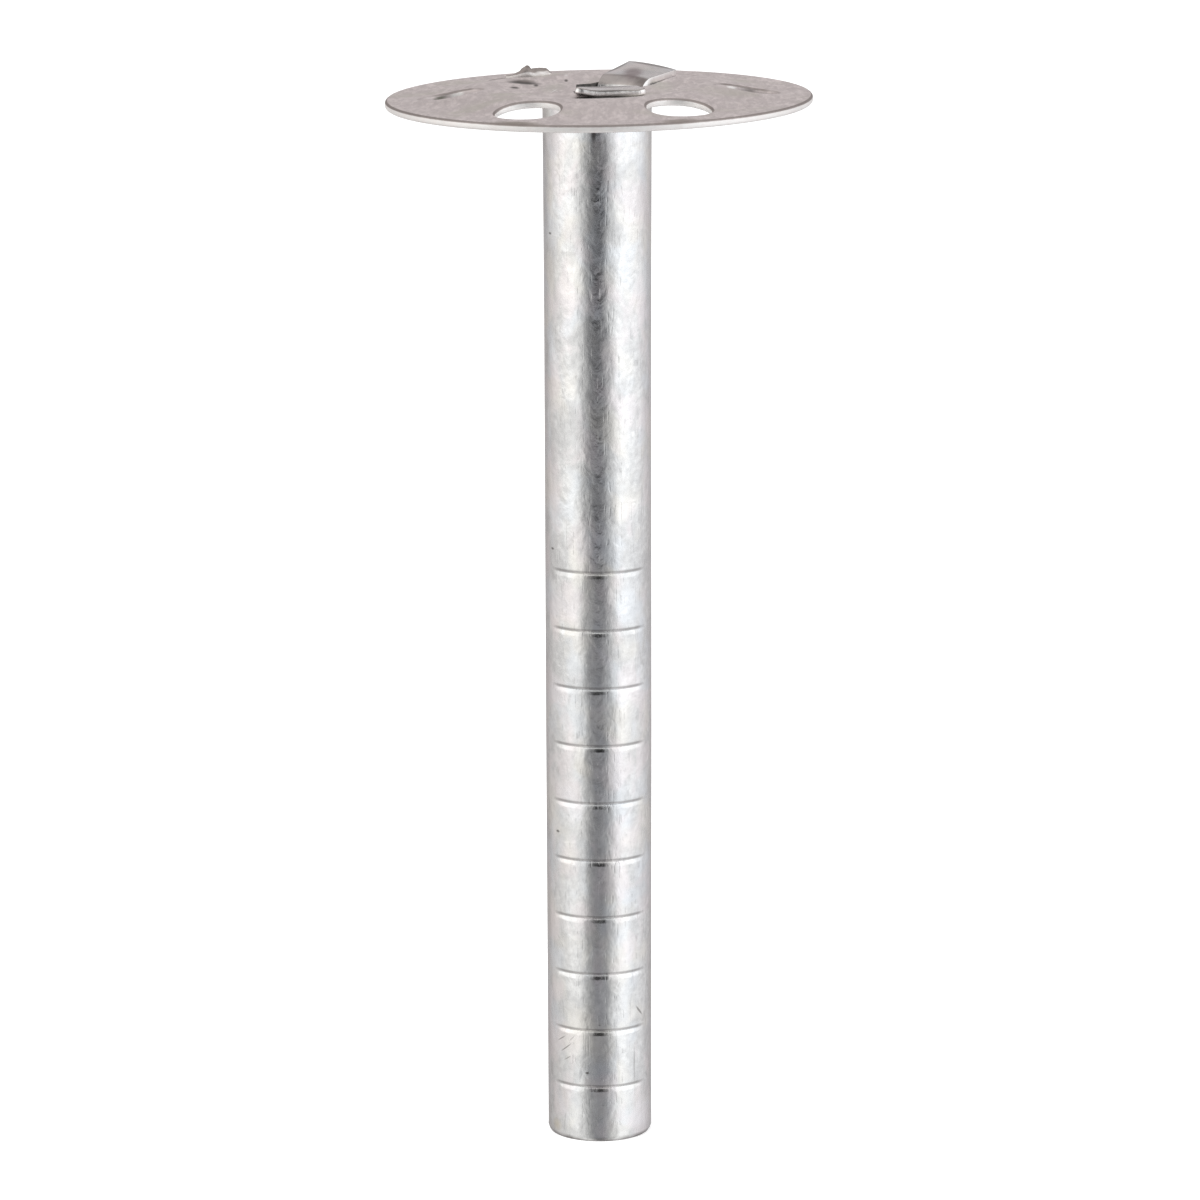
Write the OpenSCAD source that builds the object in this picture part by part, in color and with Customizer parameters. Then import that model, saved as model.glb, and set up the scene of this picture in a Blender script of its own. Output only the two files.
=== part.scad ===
// Metal insulation fixing: a round pressed head plate staked on the top end of a split sleeve.
// The sleeve stands on its lower end, with +Z up to the plate and the pressed grooves on the -Y side.

/* [Sleeve] */
// Outer diameter of the rolled sleeve
sleeve_d = 8.7; // [8:0.1:10]
// Thickness of the sleeve's sheet
sleeve_t = 0.5; // [0.4:0.05:0.8]
// Length of the sleeve from its lower end to the seat of the plate
sleeve_l = 87.7; // [70:0.1:140]
// Width of the lengthwise slit between the strip's two edges
slit_w = 0.9; // [0.3:0.1:2]
// Direction that the slit faces
slit_turn = 150; // [130:1:170]
// Height of the worn edge round the lower end
tip_edge_h = 0.35; // [0.1:0.05:1]
// How far the worn edge draws in
tip_edge_in = 0.2; // [0.05:0.05:0.3]

/* [Pressed grooves] */
// Number of grooves
groove_count = 10; // [1:1:12]
// Distance from one groove to the next
groove_pitch = 4.9; // [3:0.1:6]
// Height of the lowest groove
groove_first = 4.7; // [3:0.1:10]
// Width of a groove at the surface
groove_w = 0.5; // [0.3:0.05:1]
// Depth of a groove at its middle
groove_depth = 0.16; // [0.05:0.01:0.25]
// Angle from a groove's middle to where it runs out
groove_half = 56; // [30:1:70]

/* [Front lip] */
// Direction that the lip is folded out
lip_turn = -79.5; // [-95:0.5:-70]
// Width of the lip
lip_w = 5.8; // [4:0.1:6.2]
// Distance of the lip's web inside the face of the sleeve's wall
lip_set_in = 1.95; // [1.8:0.05:2.2]
// Radius inside the lip's fold
lip_bend_r = 0.2; // [0.1:0.05:0.3]
// Reach of the lip beyond the face of its web
lip_reach = 2.55; // [1:0.05:3]
// Height of the web inside the sleeve's end
web_h = 2.2; // [1:0.1:4]

/* [Long tongue] */
// Direction of the tongue
tongue_turn = 57; // [50:1:60]
// Width of the tongue
tongue_w = 4.5; // [3:0.1:5]
// Straight run of the tongue above the sleeve's end, before its bend
tongue_run = 0.04; // [0.02:0.01:0.06]
// Reach of the tongue beyond the face of the sleeve's wall
tongue_reach = 4.15; // [2:0.05:4.3]
// Rise of the tongue above level
tongue_rise = 10; // [5:1:20]

/* [Head plate] */
// Diameter of the plate
plate_d = 35; // [32:0.5:60]
// Thickness of the plate's sheet
plate_t = 0.65; // [0.4:0.05:1]
// Height of the crown's crest above the rim
crown_h = 0.8; // [0.4:0.02:1.4]
// How far the hub is pressed back below the crest
hub_drop = 0.2; // [0:0.02:0.3]
// How far the plate's bore lies inside the face of the sleeve's inner wall
bore_in = 0.35; // [0.1:0.05:0.8]
// Width of the level hub beyond the sleeve's outer wall
hub_margin = 1.15; // [0.9:0.05:1.6]
// Diameter of the crown's crest
crest_d = 17.2; // [15:0.1:19]
// Diameter where the crown runs out into the level rim
land_d = 30.6; // [28:0.1:31]
// Lean of the plate on the sleeve, lower on the left
plate_lean = 0.7; // [0:0.05:0.8]
// Slack that the plate has moved sideways on the sleeve
plate_shift = 0.15; // [0:0.01:0.15]

/* [Keying holes] */
// Diameter of a hole
key_d = 5.8; // [3:0.1:6.5]
// Diameter of the circle that the holes lie on
key_pcd = 24.2; // [20:0.1:26]
// Number of holes
key_count = 6; // [3:1:6]
// Direction of the first hole
key_turn = 2; // [-15:1:15]

/* [Torn burr] */
// Which hole carries the burr, counted from the first one
burr_hole = 2; // [0:1:2]
// Height of the burr at its tall end
burr_h = 0.9; // [0.3:0.05:1.5]
// Thickness of the burr's torn metal
burr_t = 0.35; // [0.2:0.05:0.5]
// Direction of the burr's tall end, seen from the middle of its hole
burr_from = -106; // [-130:1:-90]
// Angle that the burr covers round its hole
burr_span = 70; // [30:1:90]
// Slope of the burr's torn edge
burr_slope = 12; // [0:1:20]

/* [Fit] */
// Gap between the sleeve's end and the plate that seats on it
seat_gap = 0.12; // [0.12:0.01:0.2]
// Gap between the front lip and the hub of the plate
lip_gap = 0.08; // [0.07:0.01:0.2]
// Gap between the long tongue's bend and the hub of the plate
tongue_gap = 0.12; // [0.08:0.01:0.4]
// Clearance round the lip and the tongue in the plate's bore
notch_clear = 0.2; // [0.18:0.01:0.4]

/* [Hidden] */
$fn = 96;
// Overlap that joins solids of one piece, and excess length of a cutter
weld = 0.3;
// Overlap of a groove's ridge with the wall that it stands on
ridge_weld = 0.05;
// Excess angle of a groove's cutter past the place where the groove runs out
groove_over = 4;

sleeve_r = sleeve_d / 2;
inner_r = sleeve_r - sleeve_t;
slit_deg = 2 * asin(slit_w / 2 / inner_r);

// Grooves are cut by rings whose centre lies behind the axis, so that they fade out at both ends
groove_back = (2 * groove_depth * sleeve_r - pow(groove_depth, 2))
    / (2 * sleeve_r * (1 - cos(groove_half)) - 2 * groove_depth);
groove_r = groove_back + sleeve_r - groove_depth;
groove_from = -90 - groove_half;
groove_to = -90 + groove_half;

// Front lip, folded over the hub from a web that closes a part of the sleeve's end
seat_z = sleeve_l + seat_gap;
web_face = sleeve_r - lip_set_in;
web_z = sleeve_l - web_h;
lip_z = seat_z + plate_t + lip_gap;
lip_bend_steps = 4;

// Long tongue, which bends from the sleeve's end over the hub, and clears it where the bend is level
bend_z = sleeve_l + tongue_run;
hub_rise = seat_gap + plate_t - tongue_run;
bend_r = hub_rise + tongue_gap;
bend_mid_r = sleeve_r + bend_r;
tongue_end = sleeve_r + tongue_reach;
bend_steps = 6;
// Radius that the outside of the bend has reached at the height of the hub's top
bend_out_r = bend_mid_r - sqrt(pow(bend_r, 2) - pow(hub_rise, 2));

// Crown of the plate, as heights above the rim's underside
bore_r = inner_r - bore_in;
hub_r = sleeve_r + hub_margin;
crest_r = crest_d / 2;
land_r = land_d / 2;
rise_steps = 3;
fall_steps = 8;
hub_h = crown_h - hub_drop;
rim_z = seat_z - hub_h;
// Height of a cutter that passes right through the crowned plate
through_h = plate_t + crown_h + 2 * weld;

function ease(t) = (1 - cos(180 * t)) / 2;
function crown(r) =
    r <= hub_r ? hub_h
    : r <= crest_r ? hub_h + hub_drop * ease((r - hub_r) / (crest_r - hub_r))
    : r <= land_r ? crown_h * (1 - ease((r - crest_r) / (land_r - crest_r)))
    : 0;
plate_radii = concat(
    [0, hub_r],
    [for (i = [1:rise_steps]) hub_r + (crest_r - hub_r) * i / rise_steps],
    [for (i = [1:fall_steps]) crest_r + (land_r - crest_r) * i / fall_steps],
    [plate_d / 2]
);

function arc_points(mid, r, from, to, steps) =
    [for (i = [0:steps]) let (a = from + (to - from) * i / steps) mid + r * [cos(a), sin(a)]];

// Section of the sheet: the wall, then the bend over the plate and the rise out to the long tongue's reach
module sheet_section() {
    mid = [bend_mid_r, bend_z];
    turn = 90 + tongue_rise;
    under = arc_points(mid, bend_r, 180, turn, bend_steps);
    over = arc_points(mid, bend_r + sleeve_t, 180, turn, bend_steps);
    reach = tongue_end + weld;
    under_end = under[bend_steps] + (reach - under[bend_steps][0]) * [1, tan(tongue_rise)];
    over_end = over[bend_steps] + (reach - over[bend_steps][0]) * [1, tan(tongue_rise)];
    polygon(concat(
        [[inner_r, 0], [sleeve_r - tip_edge_in, 0], [sleeve_r, tip_edge_h]],
        under,
        [under_end, over_end],
        [for (i = [bend_steps:-1:0]) over[i]]
    ));
}

// Part of a ring's sweep, from one direction to another
module sweep(from, to) {
    rotate([0, 0, from]) rotate_extrude(angle = to - from) children();
}

// Room that the trimmed sheet keeps: the wall up to the seat, and the long tongue
module trimmed_room() {
    translate([0, 0, -weld]) cylinder(r = 2 * tongue_end, h = sleeve_l + weld);
    rotate([0, 0, tongue_turn])
        translate([0, -tongue_w / 2, sleeve_l - weld]) cube([tongue_end, tongue_w, tongue_end]);
}

// Section of the front lip: the web's face side by side with the wall, the fold, and the lip's reach
module lip_section() {
    mid = [web_face + lip_bend_r, lip_z - lip_bend_r];
    under = arc_points(mid, lip_bend_r, 180, 90, lip_bend_steps);
    over = arc_points(mid, lip_bend_r + sleeve_t, 180, 90, lip_bend_steps);
    lip_end = web_face + lip_reach;
    polygon(concat(
        [[web_face - sleeve_t, web_z], [web_face, web_z]],
        under,
        [[lip_end, lip_z], [lip_end, lip_z + sleeve_t]],
        [for (i = [lip_bend_steps:-1:0]) over[i]]
    ));
}

// Front lip with its web, whose shoulders run into the wall on both sides
module front_lip() {
    rotate([0, 0, lip_turn]) {
        rotate([90, 0, 0]) linear_extrude(height = lip_w, center = true) lip_section();
        intersection() {
            translate([web_face - sleeve_t, -sleeve_r, web_z]) cube([sleeve_t, sleeve_d, web_h]);
            translate([0, 0, web_z]) cylinder(r = sleeve_r - sleeve_t / 2, h = web_h);
        }
    }
}

// Notch profile of a groove, with its point at the groove's bottom
module groove_section(r, out) {
    half = groove_w / 2 * (groove_depth + out) / groove_depth;
    polygon([[r, 0], [r + groove_depth + out, half], [r + groove_depth + out, -half]]);
}

module each_groove() {
    for (i = [0:groove_count - 1])
        translate([0, groove_back, groove_first + i * groove_pitch]) children();
}

module split_sleeve() {
    color("silver") {
        difference() {
            intersection() {
                sweep(slit_turn + slit_deg / 2, slit_turn - slit_deg / 2 + 360) sheet_section();
                trimmed_room();
            }
            each_groove()
                sweep(groove_from - groove_over, groove_to + groove_over) groove_section(groove_r, weld);
        }
        front_lip();
        // Ridges that the grooves raise on the inside of the wall
        each_groove() sweep(groove_from, groove_to) groove_section(groove_r - sleeve_t, ridge_weld);
    }
}

// Bore of the plate, cut straight in front of the lip's fold
module plate_bore() {
    difference() {
        translate([0, 0, -weld]) cylinder(r = bore_r, h = through_h);
        rotate([0, 0, lip_turn])
            translate([web_face + notch_clear, -bore_r, -2 * weld])
                cube([bore_r, 2 * bore_r, through_h + 2 * weld]);
    }
}

// Notches in the bore that the lip and the long tongue pass through
module tongue_notches() {
    translate([0, 0, -weld]) {
        rotate([0, 0, lip_turn])
            translate([0, -lip_w / 2 - notch_clear, 0])
                cube([web_face + notch_clear, lip_w + 2 * notch_clear, through_h]);
        rotate([0, 0, tongue_turn])
            translate([0, -tongue_w / 2 - notch_clear, 0])
                cube([bend_out_r + notch_clear, tongue_w + 2 * notch_clear, through_h]);
    }
}

module keying_holes() {
    for (i = [0:key_count - 1])
        rotate([0, 0, key_turn + i * 360 / key_count])
            translate([key_pcd / 2, 0, -weld]) cylinder(d = key_d, h = through_h);
}

// Metal torn up along the hub side of one keying hole
module torn_burr() {
    key_a = key_turn + burr_hole * 360 / key_count;
    base = crown(key_pcd / 2);
    tall_h = plate_t + crown_h - base + burr_h;
    translate([key_pcd / 2 * cos(key_a), key_pcd / 2 * sin(key_a), base])
        difference() {
            sweep(burr_from, burr_from + burr_span)
                translate([key_d / 2, 0]) square([burr_t, tall_h]);
            // Torn edge, which falls from the tall end
            rotate([0, 0, burr_from])
                translate([-key_d / 2, 0, tall_h])
                    rotate([-burr_slope, 0, 0]) cube([2 * key_d, 2 * key_d, tall_h]);
        }
}

module head_plate() {
    top = [for (r = plate_radii) [r, crown(r) + plate_t]];
    under = [for (r = plate_radii) [r, crown(r)]];
    last = len(plate_radii) - 1;
    color([0.72, 0.70, 0.69])
        translate([plate_shift, 0, seat_z])
            rotate([0, -plate_lean, 0])
                translate([0, 0, rim_z - seat_z]) {
                    difference() {
                        rotate_extrude() polygon(concat(under, [for (i = [last:-1:0]) top[i]]));
                        keying_holes();
                        plate_bore();
                        tongue_notches();
                    }
                    torn_burr();
                }
}

head_plate();
split_sleeve();
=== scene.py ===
"""Metal insulation fixing: a matt galvanised head plate staked on a bright galvanised split sleeve."""
from functools import wraps
from math import asin, atan2, cos, hypot, pi, radians, sin, sqrt, tan

import bmesh
import bpy
from mathutils import Matrix, Vector
from mathutils import noise as lattice


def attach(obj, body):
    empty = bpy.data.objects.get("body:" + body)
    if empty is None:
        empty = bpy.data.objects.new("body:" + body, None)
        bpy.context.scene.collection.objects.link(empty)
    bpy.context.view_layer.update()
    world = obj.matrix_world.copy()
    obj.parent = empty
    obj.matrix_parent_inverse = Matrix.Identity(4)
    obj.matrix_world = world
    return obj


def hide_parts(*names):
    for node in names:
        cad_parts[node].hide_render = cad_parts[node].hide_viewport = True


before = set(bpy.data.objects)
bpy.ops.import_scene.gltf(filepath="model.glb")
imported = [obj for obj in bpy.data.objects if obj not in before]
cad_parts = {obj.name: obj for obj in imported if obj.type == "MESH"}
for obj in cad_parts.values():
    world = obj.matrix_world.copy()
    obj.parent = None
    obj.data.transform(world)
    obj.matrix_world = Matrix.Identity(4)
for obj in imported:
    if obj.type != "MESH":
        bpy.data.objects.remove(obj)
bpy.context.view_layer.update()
BODY = "root"
MM = 0.001
TOUCH = 0.01 * MM        # slack within which two places count as one
SHARP = radians(50)      # turn of an edge above which it is rounded

bl_info = {
    "name": "Metal insulation fixing",
    "version": (1, 0, 0),
    "blender": (4, 5, 0),
    "location": "View3D > Sidebar > Fixing",
    "description": "Models a sheet metal insulation fixing and its studio",
    "category": "Add Mesh",
}


def length(name, default, description):
    """A size in metres, given here in millimetres."""
    return bpy.props.FloatProperty(
        name=name, default=default * MM, description=description, min=0.0, unit="LENGTH", precision=5
    )


def angle(name, default, description):
    """An angle, given here in degrees."""
    return bpy.props.FloatProperty(
        name=name, default=radians(default), description=description, unit="ROTATION"
    )


def tint(name, default, description):
    """A colour."""
    return bpy.props.FloatVectorProperty(
        name=name, default=default, description=description, size=3, min=0.0, max=1.0, subtype="COLOR"
    )


class SleeveSizes(bpy.types.PropertyGroup):
    """Sizes of the split sleeve and its two tongues."""

    outer: length("Outer diameter", 8.7, "Diameter over the rolled wall")
    sheet: length("Sheet", 0.5, "Thickness of the sleeve's sheet")
    seat: length("Seat height", 87.7, "Height of the end that the plate seats on")
    slit: length("Slit", 0.9, "Width of the lengthwise slit")
    slit_turn: angle("Slit direction", 150.0, "Direction that the slit faces")
    edge: length("Edge radius", 0.12, "Radius of the sleeve's rounded edges")
    worn: length("Worn edge", 0.2, "How far the worn lower edge draws in")
    worn_height: length("Worn height", 0.4, "Height of the worn lower edge")
    taper: length("Taper", 0.065, "How much the wall's radius grows over the lower part")
    flare: length("Flare", 0.07, "How much more the wall's radius grows towards the plate")
    first: length("First groove", 4.7, "Height of the lowest groove")
    pitch: length("Groove pitch", 4.9, "Distance from one groove to the next")
    grooves: bpy.props.IntProperty(name="Grooves", default=10, min=1, description="Number of pressed grooves")
    groove_depth: length("Groove depth", 0.16, "Depth of a groove at its middle")
    groove_width: length("Groove width", 0.62, "Width of a groove at the surface")
    groove_half: angle("Groove run-out", 56.0, "Angle from a groove's middle to where it runs out")
    lip_turn: angle("Lip direction", -79.5, "Direction that the front lip is folded out")
    lip_width: length("Lip width", 5.8, "Width of the front lip")
    lip_face: length("Lip web", 2.4, "Distance of the outer face of the lip's web from the axis")
    lip_fold: length("Lip fold", 0.2, "Radius inside the lip's fold")
    lip_height: length("Lip height", 88.5, "Height of the lip's underside")
    lip_reach: length("Lip reach", 5.3, "Reach of the front lip from the axis")
    lip_edge: length("Lip's edge radius", 0.14, "Radius of the lip's rounded edges")
    lip_trim: bpy.props.FloatProperty(
        name="Lip trim", default=0.76, min=0.5, max=1.0, subtype="FACTOR",
        description="Share of the lip's left half that is left at the fold")
    lip_curl: length("Lip curl", 0.5, "Height that the lip's left corner is curled up")
    web: length("Web height", 2.2, "Height of the web inside the sleeve's end")
    run: length("Straight run", 0.04, "Straight run of the long tongue above the seat")
    bend: length("Bend radius", 1.1, "Radius of the long tongue's bend at the middle of the sheet")
    rise: angle("Rise", 7.4, "Rise of the long tongue above level")
    tongue_turn: angle("Tongue direction", 57.0, "Direction of the long tongue")
    tongue_width: length("Tongue width", 4.5, "Width of the long tongue")
    tongue_reach: length("Tongue reach", 8.5, "Reach of the long tongue from the axis")
    tongue_twist: angle("Tongue twist", 5.5, "Twist of the long tongue, its left corner up")
    tongue_arch: length("Tongue arch", 0.1, "Height of the tongue's middle above its edges, at its tip")


class PlateSizes(bpy.types.PropertyGroup):
    """Sizes of the head plate, its keying holes and its burr."""

    outer: length("Diameter", 35.0, "Diameter of the plate")
    sheet: length("Sheet", 0.65, "Thickness of the plate's sheet")
    seat: length("Seat height", 87.82, "Height of the hub's underside")
    crown: length("Crown", 0.8, "Height of the crest above the rim")
    drop: length("Hub drop", 0.2, "How far the hub lies below the crest")
    bore: length("Bore", 7.0, "Diameter of the bore, straight at the front for the lip's fold")
    bore_left: length("Bore's left side", 1.85, "Distance of the bore's straight left side from the axis")
    hub: length("Hub", 11.0, "Diameter of the level hub")
    crest: length("Crest", 17.2, "Diameter of the crest")
    land: length("Land", 30.6, "Diameter where the crown runs out")
    lean: angle("Lean", 0.7, "Lean of the plate, lower on the left")
    shift: length("Shift", 0.15, "Sideways slack of the plate on the sleeve")
    hole: length("Keying hole", 5.25, "Diameter of a keying hole inside its rolled edge")
    pitch_circle: length("Hole circle", 24.2, "Diameter of the circle of the keying holes")
    holes: bpy.props.IntProperty(name="Holes", default=6, min=3, description="Number of keying holes")
    turn: angle("First hole", 2.0, "Direction of the first keying hole")
    roll: length("Rolled edge", 0.25, "Radius of the rolled edges of the sheet")
    edge: length("Edge radius", 0.08, "Radius of the rounded edges of the bore")
    warp: length("Warp", 0.2, "Height that the near edges of the side holes are warped up")
    notch: length("Notch clearance", 0.2, "Clearance of the lip and the tongue in the bore")
    burr: length("Burr", 0.9, "Height of the torn burr")
    burr_sheet: length("Burr's sheet", 0.16, "Thickness of the burr's torn sheet")
    crease: length("Creases", 0.22, "Height of the creases in front of the burr")


class FixingFinish(bpy.types.PropertyGroup):
    """Colours of the two galvanised finishes, and of the painted light on the sheet's rolled edges and cut
    faces.
    """

    sleeve: tint("Bright zinc", (0.88, 0.885, 0.88), "Colour of the sleeve's bright galvanising")
    sleeve_dull: tint("Dulled zinc", (0.52, 0.52, 0.525), "Colour where the sleeve's zinc is dulled")
    warm: tint("Warm tinge", (0.89, 0.86, 0.80), "Colour of the yellowish patches on the sleeve")
    cool: tint("Cool tinge", (0.81, 0.85, 0.895), "Colour of the bluish patches on the sleeve")
    pink: tint("Pink tinge", (0.89, 0.83, 0.84), "Colour of the pinkish patches on the sleeve")
    plate: tint("Matt zinc", (0.95, 0.875, 0.86), "Colour of the plate's matt galvanising")
    plate_dull: tint("Grey zinc", (0.60, 0.545, 0.54), "Colour of the plate's darker mottles")
    stain: tint("Stain", (0.60, 0.575, 0.52), "Colour of the yellowish stains on the plate")
    # Painted dark reflection on the rounded edges of the sheet
    edge: tint("Rolled edge", (0.30, 0.26, 0.245), "Colour of the dulled, rolled edges of the sheet")
    # Painted highlight on the sheet's cut faces
    cut: tint("Cut face", (0.96, 0.945, 0.93), "Colour of the sheet's bright cut faces")


def spaced(start, stop, step):
    """Evenly spaced values from start to stop, no more than step apart."""
    count = max(1, round(abs(stop - start) / step + 0.499))
    return [start + (stop - start) * i / count for i in range(count + 1)]


def ease(share):
    """Runs smoothly from 0 to 1."""
    return (1 - cos(pi * share)) / 2


def hump(value):
    """1 in the middle and 0 from 1 outwards, smoothly."""
    return 0.5 + 0.5 * cos(pi * min(1.0, abs(value)))


def open_primitive(name, add, **sizes):
    """Adds a primitive with nothing else selected, and opens it in edit mode."""
    bpy.ops.object.select_all(action="DESELECT")
    add(**sizes)
    piece = bpy.context.object
    piece.name = piece.data.name = name
    bpy.ops.object.transform_apply(location=True, rotation=True, scale=True)
    bpy.ops.object.mode_set(mode="EDIT")
    bpy.ops.mesh.select_mode(type="EDGE")
    return piece


def start_point(name, place):
    """A new piece of one selected point, from which its edges are drawn."""
    piece = open_primitive(name, bpy.ops.mesh.primitive_plane_add, size=MM)
    bpy.ops.mesh.select_mode(type="VERT")
    bpy.ops.mesh.select_all(action="SELECT")
    bpy.ops.mesh.merge(type="CENTER")
    bpy.ops.transform.translate(value=place)
    return piece


def draw_line(steps):
    """Draws the selected point out, one edge for each step."""
    for step in steps:
        bpy.ops.mesh.extrude_region_move(TRANSFORM_OT_translate={"value": step})
    bpy.ops.mesh.select_all(action="SELECT")


def draw_out(step=(0, 0, 0)):
    """Extrudes the selected edges by a step."""
    bpy.ops.mesh.extrude_edges_move(TRANSFORM_OT_translate={"value": step})


def spin_all(steps, turn, centre=(0, 0, 0)):
    """Spins the piece about an upright axis, clockwise for a positive turn, and merges its doubles."""
    bpy.ops.mesh.select_all(action="SELECT")
    bpy.ops.mesh.spin(steps=steps, angle=turn, center=centre, axis=(0, 0, 1))
    bpy.ops.mesh.select_all(action="SELECT")
    bpy.ops.mesh.remove_doubles(threshold=TOUCH / 10)
    bpy.ops.mesh.select_mode(type="EDGE")
    bpy.ops.mesh.select_all(action="SELECT")


def place_points(piece, place):
    """Moves each selected point to place(point)."""
    mesh = bmesh.from_edit_mesh(piece.data)
    for vert in mesh.verts:
        if vert.select:
            vert.co = place(vert.co)
    bmesh.update_edit_mesh(piece.data)


def pick_edges(piece, test):
    """Selects the edges that test(edge, middle) accepts, and nothing else."""
    mesh = bmesh.from_edit_mesh(piece.data)
    bpy.ops.mesh.select_all(action="DESELECT")
    for edge in mesh.edges:
        if test(edge, (edge.verts[0].co + edge.verts[1].co) / 2):
            edge.select_set(True)
    bmesh.update_edit_mesh(piece.data)


def pick_faces(piece, test):
    """Selects the faces whose middle test accepts, and nothing else."""
    bpy.ops.mesh.select_mode(type="FACE")
    mesh = bmesh.from_edit_mesh(piece.data)
    bpy.ops.mesh.select_all(action="DESELECT")
    for face in mesh.faces:
        if test(face.calc_center_median()):
            face.select_set(True)
    bmesh.update_edit_mesh(piece.data)


def face_out(piece, outward):
    """Leaves edit mode with all faces on one side, the one where outward(face) adds up to more than 0."""
    bpy.ops.mesh.select_all(action="SELECT")
    bpy.ops.mesh.normals_make_consistent(inside=False)
    bpy.ops.object.mode_set(mode="OBJECT")
    if sum(outward(face) for face in piece.data.polygons) < 0:
        piece.data.flip_normals()


def modify(piece, kind, **settings):
    """Adds a modifier with these settings and applies it."""
    modifier = piece.modifiers.new(kind.title(), kind)
    for key, value in settings.items():
        setattr(modifier, key, value)
    bpy.ops.object.modifier_apply(modifier=modifier.name)


def round_edges(piece, radius, segments):
    """Rounds the piece's sharp edges."""
    modify(piece, "BEVEL", width=radius, segments=segments, limit_method="ANGLE", angle_limit=SHARP)


def combine(piece, tool, operation):
    """Joins a solid to a piece, or cuts it out of the piece, and removes the solid."""
    bpy.ops.object.select_all(action="DESELECT")
    piece.select_set(True)
    bpy.context.view_layer.objects.active = piece
    modify(piece, "BOOLEAN", operation=operation, solver="EXACT", object=tool)
    bpy.data.meshes.remove(tool.data)


def push(piece, weight, distance, direction="NORMAL"):
    """Moves the surface by distance times weight(point), where that weight is above nothing."""
    group = piece.vertex_groups.new(name="push")
    for vertex in piece.data.vertices:
        value = weight(vertex.co)
        if value > 0.0001:
            group.add([vertex.index], min(1.0, value), "REPLACE")
    modify(
        piece, "DISPLACE", vertex_group=group.name, strength=distance, mid_level=0.0, direction=direction)
    piece.vertex_groups.clear()


def finish_piece(piece, material, replaced):
    """Smooths a piece between its sharp edges, gives it its finish and hands it to the frame."""
    piece.data.materials.append(material)
    bpy.ops.object.shade_smooth_by_angle(angle=radians(38))
    bpy.ops.object.transform_apply(location=True, rotation=True, scale=True)
    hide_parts(replaced)
    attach(piece, BODY)


class GrooveForm:
    """Depth of the pressed grooves at a point of the wall, as a share of the full depth."""

    def __init__(self, sizes):
        radius, depth, half = sizes.outer / 2, sizes.groove_depth, sizes.groove_half
        # The pressing ring's centre lies behind the axis, so that a groove fades out at both ends
        self.back = (2 * depth * radius - depth**2) / (2 * radius * (1 - cos(half)) - 2 * depth)
        self.ring = self.back + radius - depth
        self.radius, self.depth, self.half_width = radius, depth, sizes.groove_width / 2
        self.heights = [sizes.first + i * sizes.pitch for i in range(sizes.grooves)]

    def share(self, point):
        turn = atan2(point.x, -point.y)
        reached = -self.back * cos(turn) + sqrt(self.ring**2 - (self.back * sin(turn)) ** 2)
        across = max(0.0, (self.radius - reached) / self.depth)
        near = min(abs(point.z - z) for z in self.heights)
        return across * hump(near / self.half_width)


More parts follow.
